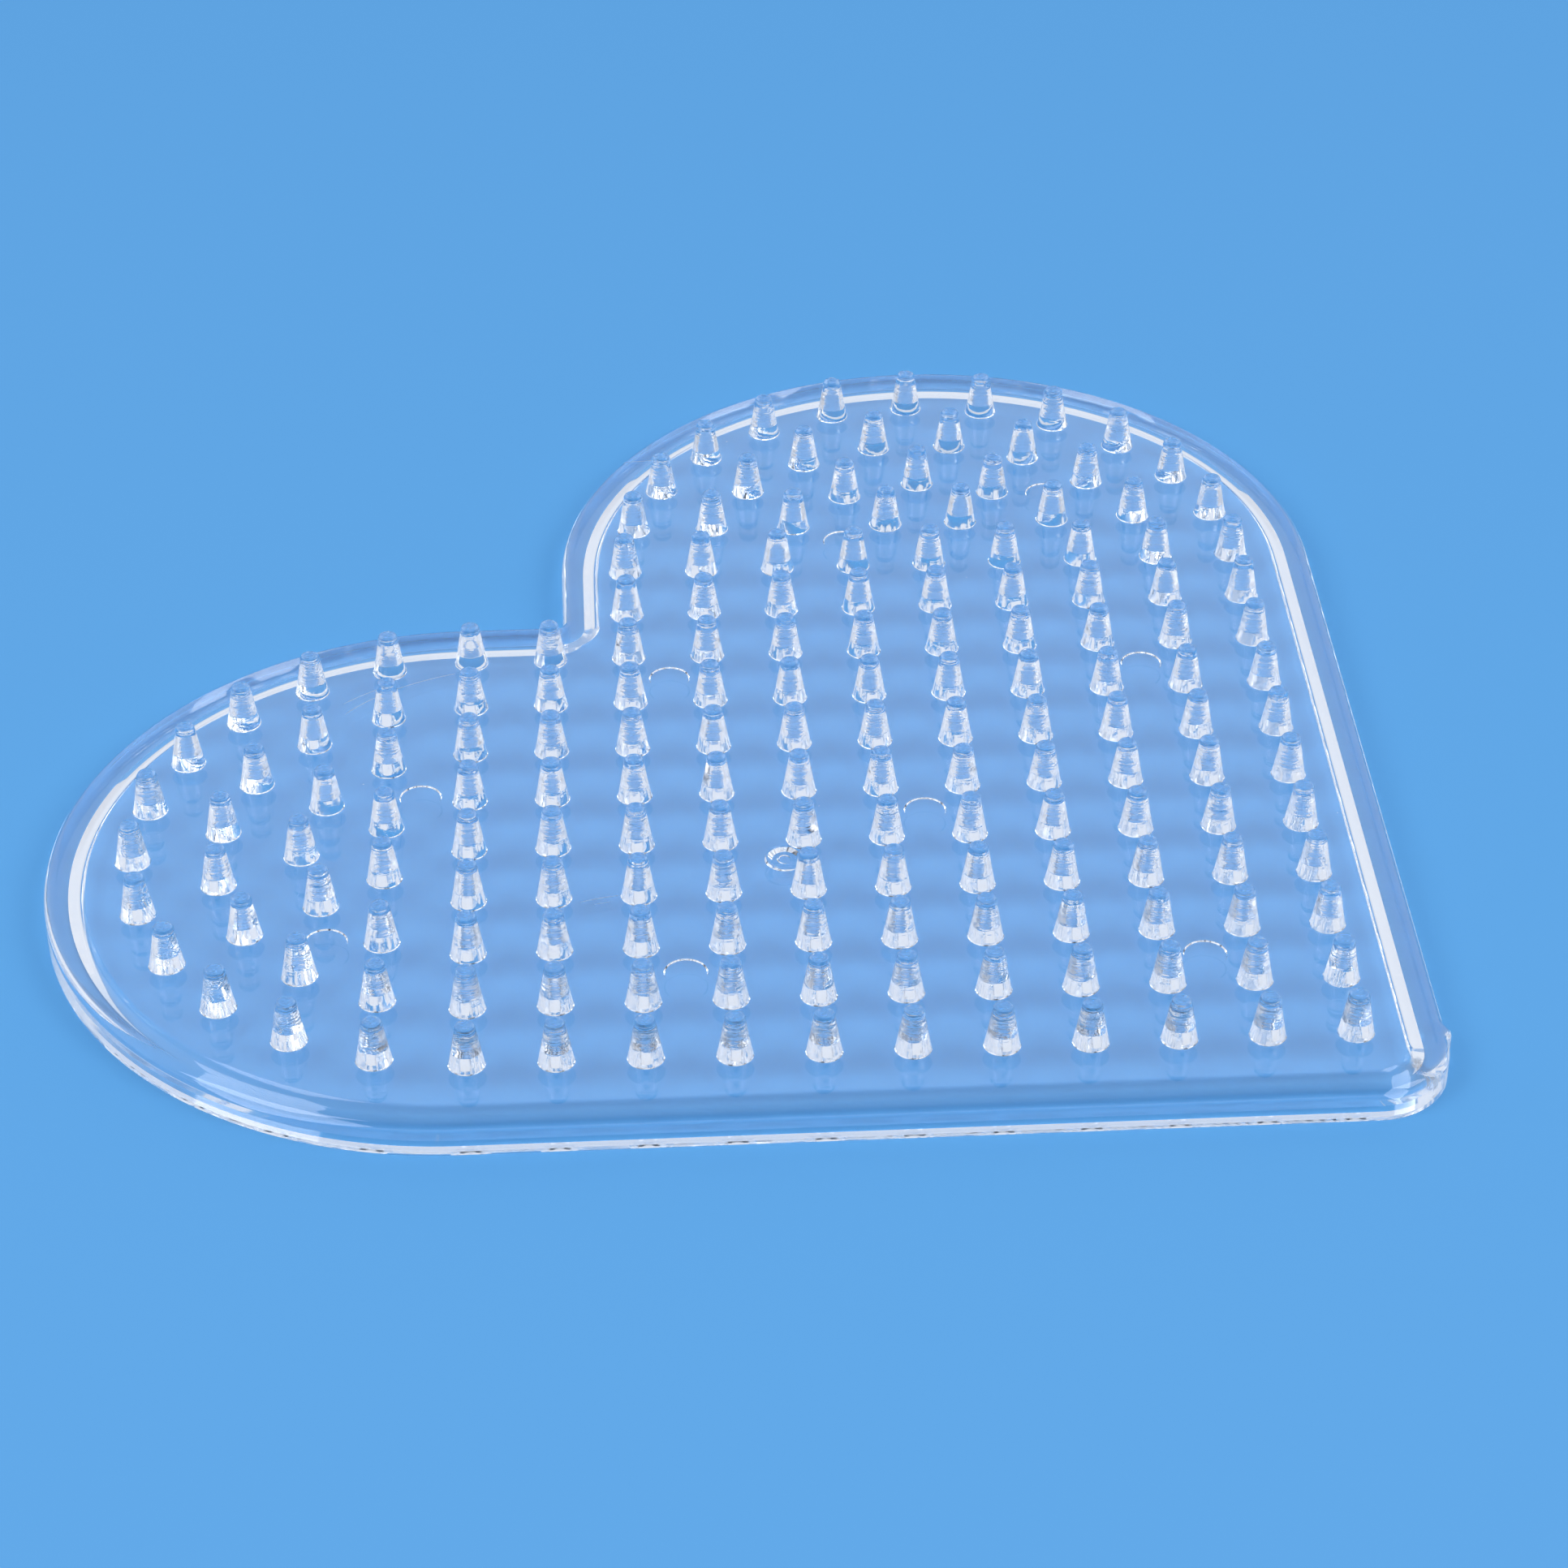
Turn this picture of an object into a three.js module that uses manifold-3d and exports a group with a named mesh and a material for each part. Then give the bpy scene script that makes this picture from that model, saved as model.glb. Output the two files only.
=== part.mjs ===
// Heart-shaped pegboard for fuse beads, a single clear moulding: a thin deck full of tapered pegs,
// with a rounded rim round it that holds the deck a little above the table.
// Each node is one part of that moulding: the rows of the square middle and the half rings of the
// two lobes, each with the pegs that stand on it, and the rim's straight sides and round parts.
// Neighbours meet face to face.
// Millimetres, +Z up, pegs up. The heart stands on z = 0, its point towards -Y.
import * as THREE from "three";
import { mergeVertices } from "three/addons/utils/BufferGeometryUtils.js";
import Module from "manifold-3d";

const wasm = await Module();
wasm.setup();

// Peg layout: a square field of rows, and half rings that close it at the two lobes
const PITCH = 5; // between neighbouring pegs, the diameter of the beads that fit it
const LOBE_RINGS = 4; // half rings of pegs in each lobe, so the field is twice this wide
const STRAIGHT_STEPS = 10; // steps of the pitch along each straight side, up to the lobe

// Pegs
const PEG_FOOT_DIAMETER = 2.06;
const PEG_SHOULDER_DIAMETER = 1.18;
const PEG_TIP_DIAMETER = 0.78;
const PEG_HEIGHT = 2.8;
const PEG_TIP_HEIGHT = 0.22; // the rounded edge of the flat end, above the shoulder
const PEG_SIDES = 10;

// Outline
const EDGE_MARGIN = 5.2; // from the outermost pegs to the outer edge
const NOTCH_MARGIN = 4.2; // the same on the sides that run into the notch
const POINT_RADIUS = 4.5; // round corner at the point of the heart
const NOTCH_RADIUS = 0.4; // small fillet in the notch
const LOBE_STEPS = 30;
const POINT_STEPS = 6;
const NOTCH_STEPS = 4;

// Section through the board
const DECK_TOP = 2.2; // top of the deck above the table
const DECK_THICKNESS = 1.2;
const RIM_WALL = 1.2; // thickness of the rim where it stands on the table
const RIM_TOP_RADIUS = 0.75; // rounding along the outer edge
const RIM_TOP_STEPS = 4;
const SLOPE_WIDTH = 0.95; // slope under the deck that joins it to the rim
const SLOPE_HEIGHT = 0.68;

// Sizes that follow
const FIELD_ROWS = 2 * LOBE_RINGS + 1;
const FIELD_WIDTH = 2 * LOBE_RINGS * PITCH;
const LOBE_RADIUS = (FIELD_WIDTH + EDGE_MARGIN + NOTCH_MARGIN) / 2;
const LOBE_SIDE = LOBE_RADIUS - EDGE_MARGIN;
const LOBE_FAR = (STRAIGHT_STEPS + LOBE_RINGS) * PITCH + EDGE_MARGIN - LOBE_RADIUS;
const NOTCH_SIDE = LOBE_SIDE + LOBE_RADIUS;
const POINT_SIDE = POINT_RADIUS - EDGE_MARGIN;
const DECK_INSET = RIM_WALL + SLOPE_WIDTH;
const DECK_UNDERSIDE = DECK_TOP - DECK_THICKNESS;

// For cutting the deck
const CUT_HEIGHT = 4 * DECK_TOP; // of the cutting blocks, past both faces of the deck
const CUT_REACH = 4 * STRAIGHT_STEPS * PITCH; // from anywhere on the board to past its edge
const SAME_PLACE = 1e-4; // corners nearer than this are one corner

// The board's two directions, along its straight sides from the point to the left and right lobe
const LEFT = new THREE.Vector2(-1, 1).multiplyScalar(Math.SQRT1_2);
const RIGHT = new THREE.Vector2(1, 1).multiplyScalar(Math.SQRT1_2);
const LOBE_TOP_Y = onBoard(LOBE_SIDE, LOBE_FAR).y + LOBE_RADIUS;
const POINT_Y = onBoard(POINT_SIDE, POINT_SIDE).y - POINT_RADIUS;
const MIDDLE_Y = (LOBE_TOP_Y + POINT_Y) / 2; // the frame's origin lies under this point

const material = new THREE.MeshStandardMaterial({
  color: 0xdce9f7,
  roughness: 0.08,
  metalness: 0,
  transparent: true,
  opacity: 0.35,
});

// A place on the board, from the distances along its two directions, before it is centred
function onBoard(left, right) {
  return LEFT.clone().multiplyScalar(left).addScaledVector(RIGHT, right);
}

// Points of an arc, first and last included, with its angles in eighths of a turn
function arc(centre, radius, from, to, steps) {
  const points = [];
  for (let i = 0; i <= steps; i++) {
    const angle = (Math.PI / 4) * (from + ((to - from) * i) / steps);
    points.push(
      new THREE.Vector2(Math.cos(angle), Math.sin(angle)).multiplyScalar(radius).add(centre),
    );
  }
  return points;
}

// The heart at a distance inside its outer edge, counterclockwise
function outline(inset) {
  const point = onBoard(POINT_SIDE, POINT_SIDE);
  const rightLobe = onBoard(LOBE_SIDE, LOBE_FAR);
  const leftLobe = onBoard(LOBE_FAR, LOBE_SIDE);
  const notch = onBoard(NOTCH_SIDE + NOTCH_RADIUS, NOTCH_SIDE + NOTCH_RADIUS);
  const points = [
    ...arc(point, POINT_RADIUS - inset, 5, 7, POINT_STEPS),
    ...arc(rightLobe, LOBE_RADIUS - inset, -1, 3, LOBE_STEPS),
    ...arc(notch, NOTCH_RADIUS + inset, 7, 5, NOTCH_STEPS),
    ...arc(leftLobe, LOBE_RADIUS - inset, 1, 5, LOBE_STEPS),
  ];
  return points.map((p) => p.setY(p.y - MIDDLE_Y));
}

// The rim's section, as inset and height, from its foot outside, over the top and back under it
function rimSection() {
  const section = [new THREE.Vector2(0, 0)];
  for (let i = 0; i <= RIM_TOP_STEPS; i++) {
    const angle = (Math.PI / 2) * (i / RIM_TOP_STEPS);
    const inset = RIM_TOP_RADIUS * (1 - Math.cos(angle));
    const height = DECK_TOP - RIM_TOP_RADIUS * (1 - Math.sin(angle));
    section.push(new THREE.Vector2(inset, height));
  }
  section.push(
    new THREE.Vector2(DECK_INSET, DECK_TOP),
    new THREE.Vector2(DECK_INSET, DECK_UNDERSIDE),
    new THREE.Vector2(RIM_WALL, DECK_UNDERSIDE - SLOPE_HEIGHT),
    new THREE.Vector2(RIM_WALL, 0),
  );
  return section;
}

// One stretch of the rim: its section along some steps of the outline, closed at both ends
function rimPart(name, start, steps) {
  const section = rimSection();
  const corners = section.length;
  const loops = section.map((corner) => outline(corner.x));
  const positions = [];
  for (let i = 0; i <= steps; i++) {
    loops.forEach((loop, j) => {
      const place = loop[(start + i) % loop.length];
      positions.push(place.x, place.y, section[j].y);
    });
  }
  const faces = [];
  for (let i = 0; i < steps; i++) {
    for (let j = 0; j < corners; j++) {
      const k = (j + 1) % corners;
      const [a, b] = [i * corners + j, i * corners + k];
      const [c, d] = [b + corners, a + corners];
      faces.push(a, c, b, a, d, c);
    }
  }
  for (const [a, b, c] of THREE.ShapeUtils.triangulateShape(section, [])) {
    const end = steps * corners;
    faces.push(c, b, a, end + a, end + b, end + c);
  }
  const geometry = new THREE.BufferGeometry();
  geometry.setAttribute("position", new THREE.Float32BufferAttribute(positions, 3));
  geometry.setIndex(faces);
  geometry.computeVertexNormals();
  const mesh = new THREE.Mesh(geometry, material.clone());
  mesh.name = name;
  return mesh;
}

// The whole rim, counterclockwise from the point of the heart
function edgeRim() {
  const stretches = [
    ["point_rim", POINT_STEPS],
    ["right_side_rim", 1],
    ["right_lobe_rim", LOBE_STEPS],
    ["notch_rim", NOTCH_STEPS + 2],
    ["left_lobe_rim", LOBE_STEPS],
    ["left_side_rim", 1],
  ];
  let start = 0;
  return stretches.map(([name, steps]) => {
    start += steps;
    return rimPart(name, start - steps, steps);
  });
}

// Between three.js geometry and solids that can be joined and cut
function solid(geometry) {
  const bare = geometry.clone();
  bare.deleteAttribute("normal");
  bare.deleteAttribute("uv");
  const merged = mergeVertices(bare, SAME_PLACE);
  return new wasm.Manifold(
    new wasm.Mesh({
      numProp: 3,
      vertProperties: new Float32Array(merged.attributes.position.array),
      triVerts: new Uint32Array(merged.index.array),
    }),
  );
}

function toGeometry(manifold) {
  const mesh = manifold.getMesh();
  const geometry = new THREE.BufferGeometry();
  const positions = new THREE.Float32BufferAttribute(mesh.vertProperties, 3);
  geometry.setAttribute("position", positions);
  geometry.setIndex([...mesh.triVerts]);
  geometry.computeVertexNormals();
  return geometry;
}

// The deck inside the rim, as one slab to cut into rows and rings
function deckSlab() {
  const shape = new THREE.Shape(outline(DECK_INSET));
  const geometry = new THREE.ExtrudeGeometry(shape, { depth: DECK_THICKNESS, bevelEnabled: false });
  return solid(geometry.translate(0, 0, DECK_UNDERSIDE));
}

// A block that spans a range of distances along the board's two directions
function block(leftFrom, leftTo, rightFrom, rightTo) {
  const geometry = new THREE.BoxGeometry(leftTo - leftFrom, rightTo - rightFrom, CUT_HEIGHT);
  const middle = onBoard((leftFrom + leftTo) / 2, (rightFrom + rightTo) / 2);
  geometry.rotateZ(LEFT.angle());
  return solid(geometry.translate(middle.x, middle.y - MIDDLE_Y, DECK_TOP));
}

// A round block about a place on the board, for cutting rings
function roundBlock(centre, radius) {
  const geometry = new THREE.CylinderGeometry(radius, radius, CUT_HEIGHT, 2 * LOBE_STEPS);
  geometry.rotateX(Math.PI / 2);
  return solid(geometry.translate(centre.x, centre.y - MIDDLE_Y, DECK_TOP));
}

// One peg, sunk half-way into the deck that it grows from
function peg(place) {
  const profile = [
    new THREE.Vector2(0, -DECK_THICKNESS / 2),
    new THREE.Vector2(PEG_FOOT_DIAMETER / 2, -DECK_THICKNESS / 2),
    new THREE.Vector2(PEG_FOOT_DIAMETER / 2, 0),
    new THREE.Vector2(PEG_SHOULDER_DIAMETER / 2, PEG_HEIGHT - PEG_TIP_HEIGHT),
    new THREE.Vector2(PEG_TIP_DIAMETER / 2, PEG_HEIGHT),
    new THREE.Vector2(0, PEG_HEIGHT),
  ];
  const geometry = new THREE.LatheGeometry(profile, PEG_SIDES);
  geometry.rotateX(Math.PI / 2);
  return solid(geometry.translate(place.x, place.y - MIDDLE_Y, DECK_TOP));
}

// A piece of the deck with its pegs, as a named mesh
function piece(name, deck, places) {
  const joined = places.reduce((made, place) => made.add(peg(place)), deck);
  const mesh = new THREE.Mesh(toGeometry(joined), material.clone());
  mesh.name = name;
  return mesh;
}

// Half rings of a lobe: ring n has 3n - 1 pegs, a little over one pitch apart. The two pegs of
// the innermost ring stand a whole pitch out from the field instead.
function ringPlaces(ring) {
  const places = [];
  for (let i = 1; i < 3 * ring; i++) {
    const angle = Math.PI * (i / (3 * ring) - 0.5);
    const out = ring === 1 ? PITCH : ring * PITCH * Math.cos(angle);
    places.push([STRAIGHT_STEPS * PITCH + out, LOBE_RINGS * PITCH + ring * PITCH * Math.sin(angle)]);
  }
  return places;
}

// The field's rows run from the right straight side towards the left lobe. The rows above the
// notch are as wide as the right lobe.
function fieldRows(slab) {
  const half = PITCH / 2;
  const pieces = [];
  for (let row = 0; row <= STRAIGHT_STEPS; row++) {
    const steps = row < FIELD_ROWS ? STRAIGHT_STEPS : 2 * LOBE_RINGS;
    const places = [];
    for (let i = 0; i <= steps; i++) places.push(onBoard(i * PITCH, row * PITCH));
    const lowest = row === 0 ? -CUT_REACH : row * PITCH - half;
    const cut = block(-CUT_REACH, STRAIGHT_STEPS * PITCH + half, lowest, row * PITCH + half);
    const name = `peg_row_${String(row + 1).padStart(2, "0")}`;
    pieces.push(piece(name, slab.intersect(cut), places));
  }
  return pieces;
}

// One lobe's half rings, from the innermost to the one along the rim. The left lobe lies along
// the first direction, and the right lobe is its mirror image.
function lobeRings(slab, side) {
  const [along, across] = [STRAIGHT_STEPS * PITCH, LOBE_RINGS * PITCH];
  const ordered = (a, b) => (side === "left" ? [a, b] : [b, a]);
  const centre = onBoard(...ordered(along, across));
  const low = ordered(along + PITCH / 2, -CUT_REACH);
  const high = ordered(CUT_REACH, CUT_REACH);
  let left = slab.intersect(block(low[0], high[0], low[1], high[1]));
  const pieces = [];
  for (let ring = 1; ring <= LOBE_RINGS; ring++) {
    const places = ringPlaces(ring).map((place) => onBoard(...ordered(...place)));
    const cutter = roundBlock(centre, (ring + 0.5) * PITCH);
    const deck = ring < LOBE_RINGS ? left.intersect(cutter) : left;
    pieces.push(piece(`${side}_lobe_ring_${ring}`, deck, places));
    left = left.subtract(cutter);
  }
  return pieces;
}

const board = new THREE.Group();
const slab = deckSlab();
board.add(...edgeRim(), ...fieldRows(slab), ...lobeRings(slab, "left"), ...lobeRings(slab, "right"));

export default board;
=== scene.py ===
import math
import random

import bmesh
import bpy
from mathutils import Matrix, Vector, geometry, kdtree


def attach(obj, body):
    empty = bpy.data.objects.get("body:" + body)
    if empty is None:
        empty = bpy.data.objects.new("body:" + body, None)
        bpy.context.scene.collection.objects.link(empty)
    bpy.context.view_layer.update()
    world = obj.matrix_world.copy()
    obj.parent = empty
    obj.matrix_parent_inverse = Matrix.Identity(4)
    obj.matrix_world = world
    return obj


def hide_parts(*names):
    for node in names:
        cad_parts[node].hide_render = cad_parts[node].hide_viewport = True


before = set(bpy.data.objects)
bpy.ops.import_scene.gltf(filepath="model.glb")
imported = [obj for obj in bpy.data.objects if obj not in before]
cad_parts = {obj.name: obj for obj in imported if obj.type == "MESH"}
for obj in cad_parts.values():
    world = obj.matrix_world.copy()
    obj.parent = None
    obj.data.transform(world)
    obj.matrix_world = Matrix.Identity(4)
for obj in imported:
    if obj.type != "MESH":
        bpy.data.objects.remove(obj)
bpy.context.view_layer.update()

rng = random.Random(169)

# Lengths in millimetres, the same as in the frame
MM = 0.001
PITCH = 5.0
LOBE_RINGS = 4
STRAIGHT_STEPS = 10
EDGE_MARGIN = 5.2
NOTCH_MARGIN = 4.2
POINT_RADIUS = 4.5
NOTCH_RADIUS = 0.4
DECK_TOP = 2.2
DECK_UNDERSIDE = 1.0
RIM_WALL = 1.41
RIM_TOP_RADIUS = 0.75
HOLLOW_WIDTH = 0.66  # hollow fillet between the deck's underside and the rim
HOLLOW_START = math.radians(12)
HOLLOW_END = math.radians(36)  # where the fillet passes into a straight slope
SLOPE_WIDTH = 0.35
PEG_FOOT_RADIUS = 1.03
PEG_TAPER = 0.17  # loss of radius per millimetre of height
PEG_HEIGHT = 2.8
PEG_END_ROUNDING = 0.2
FIELD_ROWS = 2 * LOBE_RINGS + 1
LOBE_RADIUS = (2 * LOBE_RINGS * PITCH + EDGE_MARGIN + NOTCH_MARGIN) / 2
LOBE_SIDE = LOBE_RADIUS - EDGE_MARGIN
LOBE_FAR = (STRAIGHT_STEPS + LOBE_RINGS) * PITCH + EDGE_MARGIN - LOBE_RADIUS
NOTCH_SIDE = LOBE_SIDE + LOBE_RADIUS + NOTCH_RADIUS
POINT_SIDE = POINT_RADIUS - EDGE_MARGIN
HOLLOW_INSET = RIM_WALL + SLOPE_WIDTH + HOLLOW_WIDTH

# Steps and tolerances of the fine mesh
LOBE_STEPS = 150
POINT_STEPS = 24
NOTCH_STEPS = 14
ROUND_STEPS = 9
HOLLOW_STEPS = 6
PEG_SIDES = 36
PEG_END_STEPS = 2
MERGE_DISTANCE = 1e-7
HOLE_SLACK = 1.01  # how far past a hole's radius its own points may lie
NEAREST_HOLES = 3
LEVEL_NORMAL = 0.99999
SHARP_ANGLE = math.radians(30)
MOULDED, TURNED = 0, 1  # the two finishes

# Turning marks on the pegs; the ranges are shares of a depth, drawn at random
FOOT_FILLET = 0.05
TURNED_FROM = 0.6  # height on a peg where its turned part begins
TURNED_ROWS = 3
TURNED_BLEND = 0.1
TURNING_DEPTH = 0.0025
TURNING_PEG_RANGE = (0.6, 1.3)
TURNING_ROW_RANGE = (0.2, 1.2)
STREAK_DEPTH = 0.0002
END_RINGS_FROM = 2.3  # height on a peg where its deeper end rings begin
END_RINGS = 4
END_RING_DEPTH = 0.03
END_RING_RANGE = (0.1, 1)
GROOVE_RANGE = (0.6, 1.4)
END_DENT_RINGS = 2
END_DENT_DEPTH = 0.022
END_DENT_WAVES = (2, 3)

# Marks of moulding; places are in pitches along the board's two directions
MARK_SIDES = 36
PIN_RADIUS = 1.25
PIN_DEPTH = 0.08
PIN_SLOPE = 0.035  # half the width of the slope round the mark
PIN_PLACES = [
    (1.5, 1.5), (4.5, 4.5), (7.5, 7.5), (7.5, 1.5), (1.5, 7.5),
    (10.6, 5.1), (5.1, 10.6), (11.65, 2.3), (2.3, 11.65),
]
SPRUE_PLACE = (6.25, 3.6)
SPRUE_LIP = [(1.2, 0), (1.12, 0.24), (1.0, 0.3), (0.82, 0.1), (0.74, 0)]
SPRUE_RING = [(0.46, 0), (0.42, 0.07), (0.36, 0.07), (0.32, 0)]
SPRUE_HIGH_SIDE = Vector((-0.1, 1))
SPRUE_MEAN = 0.55  # share of the profile's height, and its change round the mark
SPRUE_CHANGE = 0.45
NUB_MIDDLE = 0.2  # along the right straight side
NUB_HEIGHT = 0.32
NUB_HALF_WIDTH = 0.85
NUB_STEPS = 14
NUB_TRACE = 0.01  # of its height, which is left of it away from the edge
STAIN_PLACE = (-3.4, -2.2, 0.7)  # along the two directions, and its height
STAIN_RADIUS = 0.8
STAIN_CORE = 0.5  # share of the radius that is stained in full

# Looks; noise scales are per metre, and bumps in metres
CLEAR_COLOUR = (0.97, 0.985, 1.0, 1)
STAIN_COLOUR = (0.16, 0.1, 0.07, 1)
REFRACTION = 1.59
GLOSS_RANGE = (0.01, 0.04)
MARK_ROUGHNESS = 0.5
SURFACE_SCALE = 900
SURFACE_DETAIL = 3
SURFACE_EDGE = (0.3, 0.7)
MOULDING_BUMP = 0.000001
TURNING_BUMP = 0.000026
TURNING_STRETCH = (1, 1, 6)
STREAK_STRETCH = (4, 4, 0.5)
STRENGTH_SCALE = 150  # across the board, and the same at every height
STRENGTH_STRETCH = (1, 1, 0)
STRENGTH_EDGE = (0.35, 0.65)
STRENGTH_RANGE = (0.3, 1)
SCRATCH_SCALE = 22
SCRATCH_DISTORTION = 9
SCRATCH_CREST = (0.9999, 0.99998)
PATCH_SCALE = 90
PATCH_EDGE = (0.57, 0.62)
DUST_SCALE = 210
DUST_EDGE = (0.008, 0.015)
STAIN_SCALE = 3000
STAIN_EDGE = (0.3, 0.5)


def on_board(left, right):
    """A place from its distances along the board's two directions, before it is centred."""
    return Vector(((right - left) * math.sqrt(0.5), (left + right) * math.sqrt(0.5)))


TOP_Y = on_board(LOBE_SIDE, LOBE_FAR).y + LOBE_RADIUS
POINT_Y = on_board(POINT_SIDE, POINT_SIDE).y - POINT_RADIUS
CENTRE = Vector((0, (TOP_Y + POINT_Y) / 2))


def at_pitches(left, right):
    return on_board(left * PITCH, right * PITCH) - CENTRE


def around(radius, angle):
    return Vector((radius * math.cos(angle), radius * math.sin(angle)))


def arc(centre, radius, start, end, steps):
    """Points of an arc, both ends included, with its angles in eighths of a turn."""
    angles = [math.pi / 4 * (start + (end - start) * i / steps) for i in range(steps + 1)]
    return [centre + around(radius, angle) - CENTRE for angle in angles]


def nub(inset):
    """Points of the right straight side where the gate left a nub, just past the point."""
    places = []
    for i in range(NUB_STEPS + 1):
        along = NUB_HALF_WIDTH * (2 * i / NUB_STEPS - 1)
        out = NUB_HEIGHT * math.cos(math.pi / 2 * along / NUB_HALF_WIDTH) ** 2
        out *= max(NUB_TRACE, 1 - inset / RIM_TOP_RADIUS)
        places.append(on_board(inset - EDGE_MARGIN - out, NUB_MIDDLE + along) - CENTRE)
    return places


def outline(inset):
    """The heart at a distance inside its outer edge, counterclockwise."""
    point = on_board(POINT_SIDE, POINT_SIDE)
    notch = on_board(NOTCH_SIDE, NOTCH_SIDE)
    right, left = on_board(LOBE_SIDE, LOBE_FAR), on_board(LOBE_FAR, LOBE_SIDE)
    return (
        arc(point, POINT_RADIUS - inset, 5, 7, POINT_STEPS)
        + nub(inset)
        + arc(right, LOBE_RADIUS - inset, -1, 3, LOBE_STEPS)
        + arc(notch, NOTCH_RADIUS + inset, 7, 5, NOTCH_STEPS)
        + arc(left, LOBE_RADIUS - inset, 1, 5, LOBE_STEPS)
    )


def peg_places():
    """The square field's rows, then the half rings of both lobes."""
    places = []
    for row in range(STRAIGHT_STEPS + 1):
        steps = STRAIGHT_STEPS if row < FIELD_ROWS else 2 * LOBE_RINGS
        places += [(i * PITCH, row * PITCH) for i in range(steps + 1)]
    for ring in range(1, LOBE_RINGS + 1):
        for i in range(1, 3 * ring):
            angle = math.pi * (i / (3 * ring) - 0.5)
            out = PITCH if ring == 1 else ring * PITCH * math.cos(angle)
            along = STRAIGHT_STEPS * PITCH + out
            across = LOBE_RINGS * PITCH + ring * PITCH * math.sin(angle)
            places += [(along, across), (across, along)]
    return [on_board(*place) - CENTRE for place in places]


class Skin:
    """The surface of the moulding, in millimetres."""

    def __init__(self):
        self.points = []
        self.faces = []
        self.finishes = []

    def loop(self, places, height):
        """Points at one height, or at a list of heights. Returns their numbers."""
        heights = height if isinstance(height, list) else [height] * len(places)
        first = len(self.points)
        self.points += [(place.x, place.y, z) for place, z in zip(places, heights)]
        return list(range(first, len(self.points)))

    def add(self, face, finish):
        self.faces.append(face)
        self.finishes.append(finish)

    def bridge(self, lower, upper, finish=MOULDED):
        """A band of faces between two loops of the same length."""
        for i, a in enumerate(lower):
            j = (i + 1) % len(lower)
            self.add((a, lower[j], upper[j], upper[i]), finish)

    def fan(self, loop, tip, finish=MOULDED):
        for i, a in enumerate(loop):
            self.add((a, loop[(i + 1) % len(loop)], tip), finish)

    def sheet(self, border, holes, up):
        """A flat face inside a border, less its holes, each given as (centre, radius, loop)."""
        loops = [border] + [hole[2] for hole in holes]
        order = [i for loop in loops for i in loop]
        flat = [Vector(self.points[i][:2]) for i in order]
        edges = []
        for loop in loops:
            first = len(edges)
            edges += [(first + i, first + (i + 1) % len(loop)) for i in range(len(loop))]
        made = geometry.delaunay_2d_cdt(flat, edges, [], 0, MERGE_DISTANCE, True)
        places, triangles, sources = made[0], made[2], made[3]
        tree = kdtree.KDTree(max(1, len(holes)))
        for i, hole in enumerate(holes):
            tree.insert(hole[0].to_3d(), i)
        tree.balance()
        edge = [flat[i] for i in range(len(border))]
        for triangle in triangles:
            corners = [places[i] for i in triangle]
            middle = (corners[0] + corners[1] + corners[2]) / 3
            if not inside(middle, edge) or in_hole(corners, middle, holes, tree):
                continue
            face = [order[sources[i][0]] for i in triangle]
            turn = (corners[1] - corners[0]).cross(corners[2] - corners[0])
            if (turn < 0) == up:
                face.reverse()
            self.add(tuple(face), MOULDED)


def inside(place, polygon):
    """Whether a place lies inside a polygon, by the crossings to its right."""
    crossings = 0
    for a, b in zip(polygon, polygon[1:] + polygon[:1]):
        if (a.y > place.y) != (b.y > place.y):
            if place.x < (b.x - a.x) * (place.y - a.y) / (b.y - a.y) + a.x:
                crossings += 1
    return crossings % 2 == 1


def in_hole(corners, middle, holes, tree):
    """Whether all corners of a triangle lie on one of the holes nearest to its middle."""
    if not holes:
        return False
    for _, i, _ in tree.find_n(middle.to_3d(), NEAREST_HOLES):
        centre, radius, _ = holes[i]
        if all((corner - centre).length < radius * HOLE_SLACK for corner in corners):
            return True
    return False


def circle(centre, radius, sides, wobble=None):
    places = []
    for i in range(sides):
        change = wobble[i] if wobble else 0
        places.append(centre + around(radius + change, 2 * math.pi * i / sides))
    return places


def rim(skin):
    """The rim all round. Returns the borders of the deck's top and underside."""
    rounded = []
    for i in range(ROUND_STEPS + 1):
        angle = math.pi / 2 * i / ROUND_STEPS
        inset = RIM_TOP_RADIUS * (1 - math.cos(angle))
        rounded.append((inset, DECK_TOP - RIM_TOP_RADIUS * (1 - math.sin(angle))))
    inner = [(HOLLOW_INSET, DECK_UNDERSIDE)]
    for i in range(HOLLOW_STEPS):
        turn = math.sqrt((i + 0.5) / HOLLOW_STEPS)
        angle = HOLLOW_START + (HOLLOW_END - HOLLOW_START) * turn
        inset, height = inner[-1]
        step = HOLLOW_WIDTH / HOLLOW_STEPS
        inner.append((inset - step, height - step * math.tan(angle)))
    slope_foot = inner[-1][1] - SLOPE_WIDTH * math.tan(HOLLOW_END)
    profile = [*inner, (RIM_WALL, slope_foot), (RIM_WALL, 0), (0, 0), *rounded]
    loops = [skin.loop(outline(inset), height) for inset, height in profile]
    for lower, upper in zip(loops, loops[1:]):
        skin.bridge(lower, upper)
    return loops[-1], loops[0]


def peg_radius(height):
    return PEG_FOOT_RADIUS - PEG_TAPER * height


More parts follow.
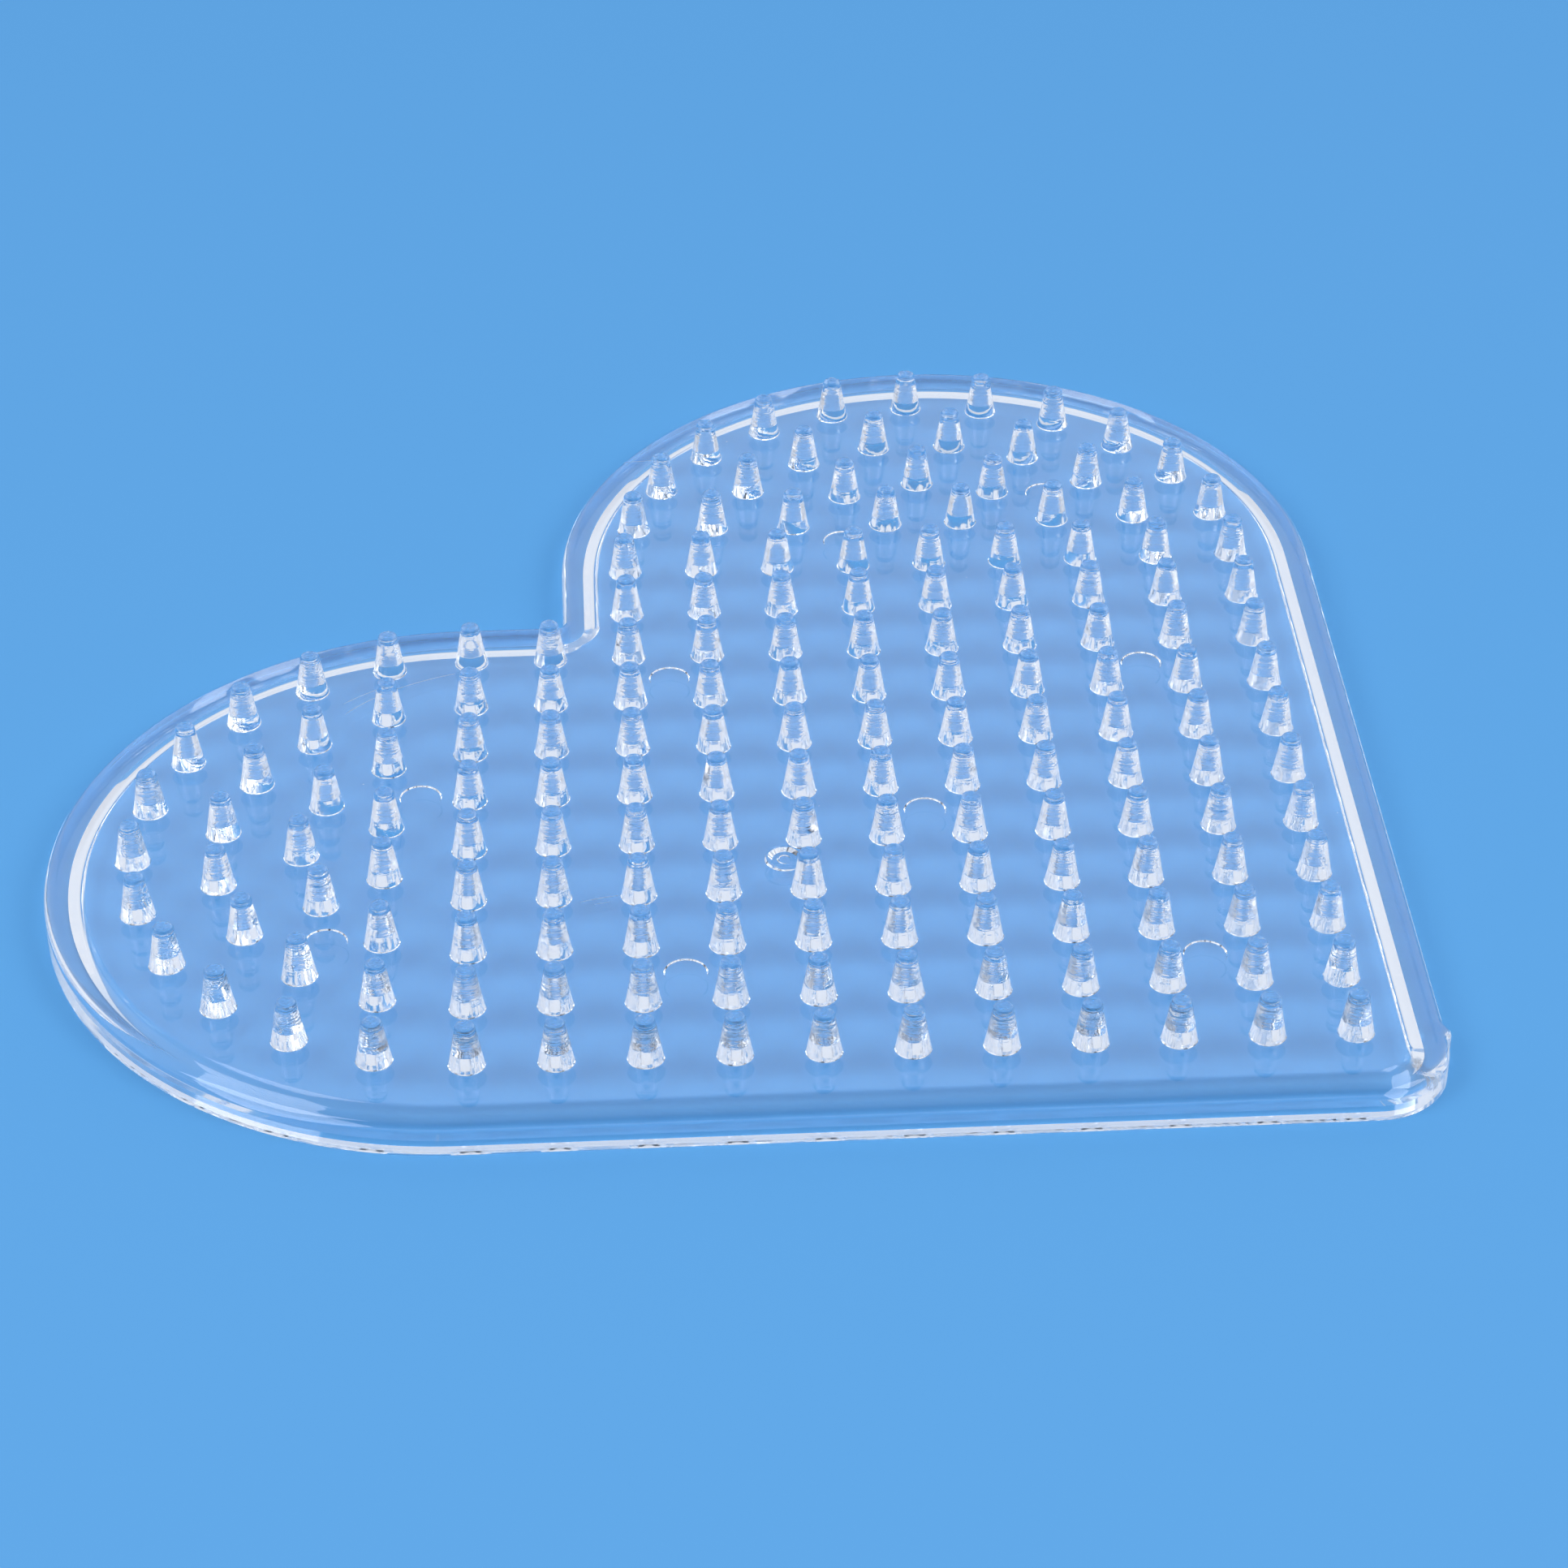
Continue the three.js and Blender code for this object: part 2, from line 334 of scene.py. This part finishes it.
def peg_rows():
    """A peg's rows from its foot to its flat end, each as (radius, height, groove)."""
    shoulder = PEG_HEIGHT - PEG_END_ROUNDING
    rows = [(PEG_FOOT_RADIUS, FOOT_FILLET, 0)]
    depth = TURNING_DEPTH * rng.uniform(*TURNING_PEG_RANGE)
    for i in range(TURNED_ROWS + 1):
        height = TURNED_FROM + (END_RINGS_FROM - TURNED_FROM) * i / TURNED_ROWS
        groove = depth * rng.uniform(*TURNING_ROW_RANGE) * (-1 if i % 2 else 1)
        rows.append((peg_radius(height), height, groove))
    for i in range(1, END_RINGS + 1):
        height = END_RINGS_FROM + (shoulder - END_RINGS_FROM) * i / END_RINGS
        groove = END_RING_DEPTH * rng.uniform(*END_RING_RANGE) * (-1 if i % 2 else 1)
        rows.append((peg_radius(height), height, groove))
    flat_radius = peg_radius(shoulder) - PEG_END_ROUNDING
    for i in range(1, PEG_END_STEPS + 1):
        angle = math.pi / 2 * i / PEG_END_STEPS
        radius = flat_radius + PEG_END_ROUNDING * math.cos(angle)
        rows.append((radius, shoulder + PEG_END_ROUNDING * math.sin(angle), 0))
    return rows


def dented_end(skin, centre, border, border_radius):
    """The end of a peg inside its rounding, with its shallow dents."""
    waves_per_ring = len(END_DENT_WAVES)
    deepest = END_DENT_DEPTH * waves_per_ring
    turns = [rng.uniform(0, 2 * math.pi) for _ in range(waves_per_ring * END_DENT_RINGS)]
    last = border
    for ring in range(END_DENT_RINGS):
        radius = border_radius * (1 - (ring + 1) / (END_DENT_RINGS + 1))
        heights = []
        for k in range(PEG_SIDES):
            angle = 2 * math.pi * k / PEG_SIDES
            dent = sum(
                math.sin(waves * angle + turn)
                for waves, turn in zip(END_DENT_WAVES, turns[waves_per_ring * ring:])
            )
            heights.append(DECK_TOP + PEG_HEIGHT + END_DENT_DEPTH * (dent - waves_per_ring))
        loop = skin.loop(circle(centre, radius, PEG_SIDES), heights)
        skin.bridge(last, loop, TURNED)
        last = loop
    tip = skin.loop([centre], DECK_TOP + PEG_HEIGHT - deepest)[0]
    skin.fan(last, tip, TURNED)


def peg(skin, centre):
    """One peg with its turned upper part and rounded end. Returns its hole in the deck."""
    streaks = [rng.gauss(0, STREAK_DEPTH) for _ in range(PEG_SIDES)]
    hole_radius = PEG_FOOT_RADIUS + FOOT_FILLET
    hole = skin.loop(circle(centre, hole_radius, PEG_SIDES), DECK_TOP)
    last = hole
    for radius, height, groove in peg_rows():
        wobble = [groove * rng.uniform(*GROOVE_RANGE) + streak for streak in streaks]
        loop = skin.loop(circle(centre, radius, PEG_SIDES, wobble), DECK_TOP + height)
        skin.bridge(last, loop, TURNED)
        last = loop
    dented_end(skin, centre, last, radius)
    return centre, hole_radius, hole


def ring_profile(skin, centre, profile, swell=None):
    """Rings round a centre, from the outermost in, as (radius, height). Returns the hole."""
    loops = []
    for radius, height in profile:
        places = circle(centre, radius, MARK_SIDES)
        shares = [swell(place - centre) if swell else 1 for place in places]
        loop = skin.loop(places, [DECK_TOP + height * share for share in shares])
        if loops:
            skin.bridge(loops[-1], loop)
        loops.append(loop)
    skin.fan(loops[-1], skin.loop([centre], DECK_TOP + profile[-1][1])[0])
    return centre, profile[0][0], loops[0]


def pin_mark(skin, centre):
    """The shallow round recess that an ejector pin leaves."""
    profile = [(PIN_RADIUS + PIN_SLOPE, 0), (PIN_RADIUS - PIN_SLOPE, -PIN_DEPTH)]
    return ring_profile(skin, centre, profile)


def sprue_mark(skin, centre):
    """The round mark of the sprue: a lip, high on its far left, round a small ring."""

    def swell(out):
        return SPRUE_MEAN + SPRUE_CHANGE * out.normalized().dot(SPRUE_HIGH_SIDE)

    return ring_profile(skin, centre, SPRUE_LIP + SPRUE_RING, swell)


def board_skin():
    skin = Skin()
    top_border, under_border = rim(skin)
    holes = [peg(skin, centre) for centre in peg_places()]
    holes += [pin_mark(skin, at_pitches(*place)) for place in PIN_PLACES]
    holes.append(sprue_mark(skin, at_pitches(*SPRUE_PLACE)))
    skin.sheet(top_border, holes, True)
    skin.sheet(under_border, [], False)
    return skin


def meets_flat(edge):
    """Whether just one of an edge's faces is level."""
    level = [abs(face.normal.z) > LEVEL_NORMAL for face in edge.link_faces]
    return any(level) and not all(level)


def shade_by_angle(mesh):
    """Smooth faces, with sharp edges round level faces and where the angle is wide."""
    work = bmesh.new()
    work.from_mesh(mesh)
    loose = sum(1 for edge in work.edges if len(edge.link_faces) != 2)
    print("board triangles", len(work.calc_loop_triangles()))
    print("edges without two faces", loose)
    print("volume mm3", work.calc_volume(signed=True) / MM ** 3)
    for face in work.faces:
        face.smooth = True
    for edge in work.edges:
        edge.smooth = edge.calc_face_angle(0) < SHARP_ANGLE and not meets_flat(edge)
    work.to_mesh(mesh)
    work.free()


def new_node(tree, kind, **values):
    node = tree.nodes.new(kind)
    for name, value in values.items():
        setattr(node, name, value)
    return node


def object_place(tree):
    return new_node(tree, "ShaderNodeTexCoord").outputs["Object"]


def noise(tree, scale, stretch=(1, 1, 1), detail=2):
    """A noise over the object, stretched along its axes."""
    mapping = new_node(tree, "ShaderNodeMapping")
    mapping.inputs["Scale"].default_value = stretch
    texture = new_node(tree, "ShaderNodeTexNoise")
    texture.inputs["Scale"].default_value = scale
    texture.inputs["Detail"].default_value = detail
    tree.links.new(object_place(tree), mapping.inputs["Vector"])
    tree.links.new(mapping.outputs["Vector"], texture.inputs["Vector"])
    return texture.outputs["Fac"]


def spread(tree, value, old, new, interpolation="LINEAR"):
    """A value taken from one range to another."""
    node = new_node(tree, "ShaderNodeMapRange", interpolation_type=interpolation)
    for name, limit in zip(("From Min", "From Max", "To Min", "To Max"), (*old, *new)):
        node.inputs[name].default_value = limit
    tree.links.new(value, node.inputs["Value"])
    return node.outputs["Result"]


def curves(tree, scale, distortion):
    """Waves whose crests are long irregular curves."""
    texture = new_node(tree, "ShaderNodeTexWave", bands_direction="DIAGONAL")
    texture.inputs["Scale"].default_value = scale
    texture.inputs["Distortion"].default_value = distortion
    texture.inputs["Detail"].default_value = 0
    tree.links.new(object_place(tree), texture.inputs["Vector"])
    return texture.outputs["Fac"]


def specks(tree, scale):
    """The distance from scattered points."""
    texture = new_node(tree, "ShaderNodeTexVoronoi")
    texture.inputs["Scale"].default_value = scale
    tree.links.new(object_place(tree), texture.inputs["Vector"])
    return texture.outputs["Distance"]


def combined(tree, operation, one, other):
    node = new_node(tree, "ShaderNodeMath", operation=operation)
    tree.links.new(one, node.inputs[0])
    tree.links.new(other, node.inputs[1])
    return node.outputs["Value"]


def clear_plastic(name):
    """Clear polystyrene. Returns also its roughness, that of a much handled gloss."""
    material = bpy.data.materials.new(name)
    material.use_nodes = True
    tree = material.node_tree
    shader = tree.nodes["Principled BSDF"]
    shader.inputs["Base Color"].default_value = CLEAR_COLOUR
    shader.inputs["Transmission Weight"].default_value = 1
    shader.inputs["IOR"].default_value = REFRACTION
    cloudy = noise(tree, SURFACE_SCALE, detail=SURFACE_DETAIL)
    return material, tree, shader, spread(tree, cloudy, SURFACE_EDGE, GLOSS_RANGE)


def bumped(tree, shader, height, distance, strength=None):
    bump = new_node(tree, "ShaderNodeBump")
    bump.inputs["Distance"].default_value = distance
    tree.links.new(height, bump.inputs["Height"])
    if strength:
        tree.links.new(strength, bump.inputs["Strength"])
    tree.links.new(bump.outputs["Normal"], shader.inputs["Normal"])


def stain_mask(tree):
    """Where old dirt sits, in the corner by the nub."""
    left, right, height = STAIN_PLACE
    middle = (on_board(left, right) - CENTRE).to_3d() + Vector((0, 0, height))
    distance = new_node(tree, "ShaderNodeVectorMath", operation="DISTANCE")
    distance.inputs[1].default_value = middle * MM
    tree.links.new(object_place(tree), distance.inputs[0])
    reach = STAIN_RADIUS * MM
    near = spread(tree, distance.outputs["Value"], (reach * STAIN_CORE, reach), (1, 0))
    patchy = spread(tree, noise(tree, STAIN_SCALE), STAIN_EDGE, (0, 1))
    return combined(tree, "MULTIPLY", near, patchy)


def moulded_plastic():
    """The deck and rim: a moulded gloss with hairline scratches, dust and a stain."""
    material, tree, shader, gloss = clear_plastic("clear_polystyrene")
    bumped(tree, shader, noise(tree, SURFACE_SCALE, detail=SURFACE_DETAIL), MOULDING_BUMP)
    lines = spread(tree, curves(tree, SCRATCH_SCALE, SCRATCH_DISTORTION), SCRATCH_CREST, (0, 1))
    patches = spread(tree, noise(tree, PATCH_SCALE), PATCH_EDGE, (0, 1))
    scratches = combined(tree, "MULTIPLY", lines, patches)
    dust = spread(tree, specks(tree, DUST_SCALE), DUST_EDGE, (1, 0))
    stain = stain_mask(tree)
    marks = combined(tree, "MAXIMUM", combined(tree, "MAXIMUM", scratches, dust), stain)
    dull = spread(tree, marks, (0, 1), (0, MARK_ROUGHNESS))
    tree.links.new(combined(tree, "MAXIMUM", gloss, dull), shader.inputs["Roughness"])
    colour = new_node(tree, "ShaderNodeMix", data_type="RGBA")
    tree.links.new(stain, colour.inputs["Factor"])
    colour.inputs["A"].default_value = CLEAR_COLOUR
    colour.inputs["B"].default_value = STAIN_COLOUR
    tree.links.new(colour.outputs["Result"], shader.inputs["Base Color"])
    return material


def turned_plastic():
    """The pegs: turning marks round their upper part and faint streaks up their foot."""
    material, tree, shader, gloss = clear_plastic("turned_polystyrene")
    tree.links.new(gloss, shader.inputs["Roughness"])
    split = new_node(tree, "ShaderNodeSeparateXYZ")
    tree.links.new(object_place(tree), split.inputs["Vector"])
    bottom = DECK_TOP + TURNED_FROM
    blend = ((bottom - TURNED_BLEND) * MM, (bottom + TURNED_BLEND) * MM)
    marks = new_node(tree, "ShaderNodeMix")
    tree.links.new(spread(tree, split.outputs["Z"], blend, (0, 1)), marks.inputs["Factor"])
    tree.links.new(noise(tree, SURFACE_SCALE, STREAK_STRETCH), marks.inputs["A"])
    tree.links.new(noise(tree, SURFACE_SCALE, TURNING_STRETCH), marks.inputs["B"])
    by_peg = noise(tree, STRENGTH_SCALE, STRENGTH_STRETCH, 0)
    strength = spread(tree, by_peg, STRENGTH_EDGE, STRENGTH_RANGE)
    bumped(tree, shader, marks.outputs["Result"], TURNING_BUMP, strength)
    return material


skin = board_skin()
mesh = bpy.data.meshes.new("clear_board")
mesh.from_pydata([Vector(point) * MM for point in skin.points], [], skin.faces)
mesh.materials.append(moulded_plastic())
mesh.materials.append(turned_plastic())
mesh.polygons.foreach_set("material_index", skin.finishes)
shade_by_angle(mesh)
board = bpy.data.objects.new("clear_board", mesh)
bpy.context.scene.collection.objects.link(board)
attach(board, "root")
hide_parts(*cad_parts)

# The stage, from here on in metres
FLOOR_HALF = 3.0
FLOOR_DROP = 0.00002
FLOOR_LEVELS = (98, 166, 222)
FLOOR_ROUGHNESS = 0.6
CAMERA_PLACE = (-0.15602, -0.13163, 0.14987)
CAMERA_TURN = (54.2385, 0.1645, -48.0996)
CAMERA_LENS = 95.045
CAMERA_SENSOR = 36
CAMERA_NEAR = 0.01
ROOM_TINT = (0.85, 0.9, 1, 1)
FAR_SIDE = Vector((0.6029, 0.5432, 0.143)).normalized()
ROOM_TURN = (-0.7, 0.15)  # cosines from the far side between which the room gets lighter
ROOM_LEVELS = (0.03, 0.95)
HORIZON_LEVEL = 0.8
HORIZON_RISE = (0.1, 0.3)
LAMP_DISTANCE = 0.75
LAMP_SIZE = 0.4
LAMP_WATTS = 1.6
LEFT_LAMP = (-0.686, 0.219, 0.7)
RIGHT_LAMP = (0.219, -0.686, 0.7)
LIGHT_BOUNCES = 256


def srgb(*levels):
    """A colour from its 0 to 255 levels."""
    return (*[((v / 255 + 0.055) / 1.055) ** 2.4 for v in levels], 1)


def pale_floor():
    corners = [(-1, -1), (1, -1), (1, 1), (-1, 1)]
    places = [(x * FLOOR_HALF, y * FLOOR_HALF, 0) for x, y in corners]
    floor_mesh = bpy.data.meshes.new("floor")
    floor_mesh.from_pydata(places, [], [(0, 1, 2, 3)])
    material = bpy.data.materials.new("pale_floor")
    material.use_nodes = True
    shader = material.node_tree.nodes["Principled BSDF"]
    shader.inputs["Base Color"].default_value = srgb(*FLOOR_LEVELS)
    shader.inputs["Roughness"].default_value = FLOOR_ROUGHNESS
    shader.inputs["Specular IOR Level"].default_value = 0
    floor_mesh.materials.append(material)
    floor = bpy.data.objects.new("floor", floor_mesh)
    floor.location.z = -FLOOR_DROP
    bpy.context.scene.collection.objects.link(floor)
    return floor


def photo_camera():
    """The camera, at the photograph's viewing angle."""
    data = bpy.data.cameras.new("camera")
    data.lens = CAMERA_LENS
    data.sensor_width = CAMERA_SENSOR
    data.sensor_fit = "HORIZONTAL"
    data.clip_start = CAMERA_NEAR
    camera = bpy.data.objects.new("camera", data)
    camera.location = CAMERA_PLACE
    camera.rotation_euler = [math.radians(angle) for angle in CAMERA_TURN]
    bpy.context.scene.collection.objects.link(camera)
    return camera


def soft_room():
    """A room that is light on the far side, darker behind the camera, with a pale horizon."""
    world = bpy.data.worlds.new("soft_room")
    world.use_nodes = True
    tree = world.node_tree
    background = tree.nodes["Background"]
    background.inputs["Color"].default_value = ROOM_TINT
    direction = new_node(tree, "ShaderNodeTexCoord").outputs["Generated"]
    towards = new_node(tree, "ShaderNodeVectorMath", operation="DOT_PRODUCT")
    towards.inputs[1].default_value = FAR_SIDE
    tree.links.new(direction, towards.inputs[0])
    room = spread(tree, towards.outputs["Value"], ROOM_TURN, ROOM_LEVELS, "SMOOTHSTEP")
    split = new_node(tree, "ShaderNodeSeparateXYZ")
    tree.links.new(direction, split.inputs["Vector"])
    upward = spread(tree, split.outputs["Z"], HORIZON_RISE, (0, 1), "SMOOTHSTEP")
    level = new_node(tree, "ShaderNodeMix")
    level.inputs["A"].default_value = HORIZON_LEVEL
    tree.links.new(upward, level.inputs["Factor"])
    tree.links.new(room, level.inputs["B"])
    tree.links.new(level.outputs["Result"], background.inputs["Strength"])
    return world


def soft_lamp(name, towards):
    """A square lamp that faces the middle of the board from a direction."""
    data = bpy.data.lights.new(name, "AREA")
    data.shape = "SQUARE"
    data.size = LAMP_SIZE
    data.energy = LAMP_WATTS
    lamp = bpy.data.objects.new(name, data)
    lamp.location = Vector(towards).normalized() * LAMP_DISTANCE
    lamp.rotation_euler = lamp.location.to_track_quat("Z", "Y").to_euler()
    bpy.context.scene.collection.objects.link(lamp)


scene = bpy.context.scene
pale_floor()
bpy.context.scene.camera = photo_camera()
scene.world = soft_room()
soft_lamp("left_lamp", LEFT_LAMP)
soft_lamp("right_lamp", RIGHT_LAMP)
scene.view_settings.view_transform = "Standard"
# Light passes through the clear board many times before it leaves it, and the filter on
# glossy light would dim the floor that shows through the deck
scene.cycles.max_bounces = LIGHT_BOUNCES
scene.cycles.transmission_bounces = LIGHT_BOUNCES
scene.cycles.glossy_bounces = LIGHT_BOUNCES
scene.cycles.blur_glossy = 0
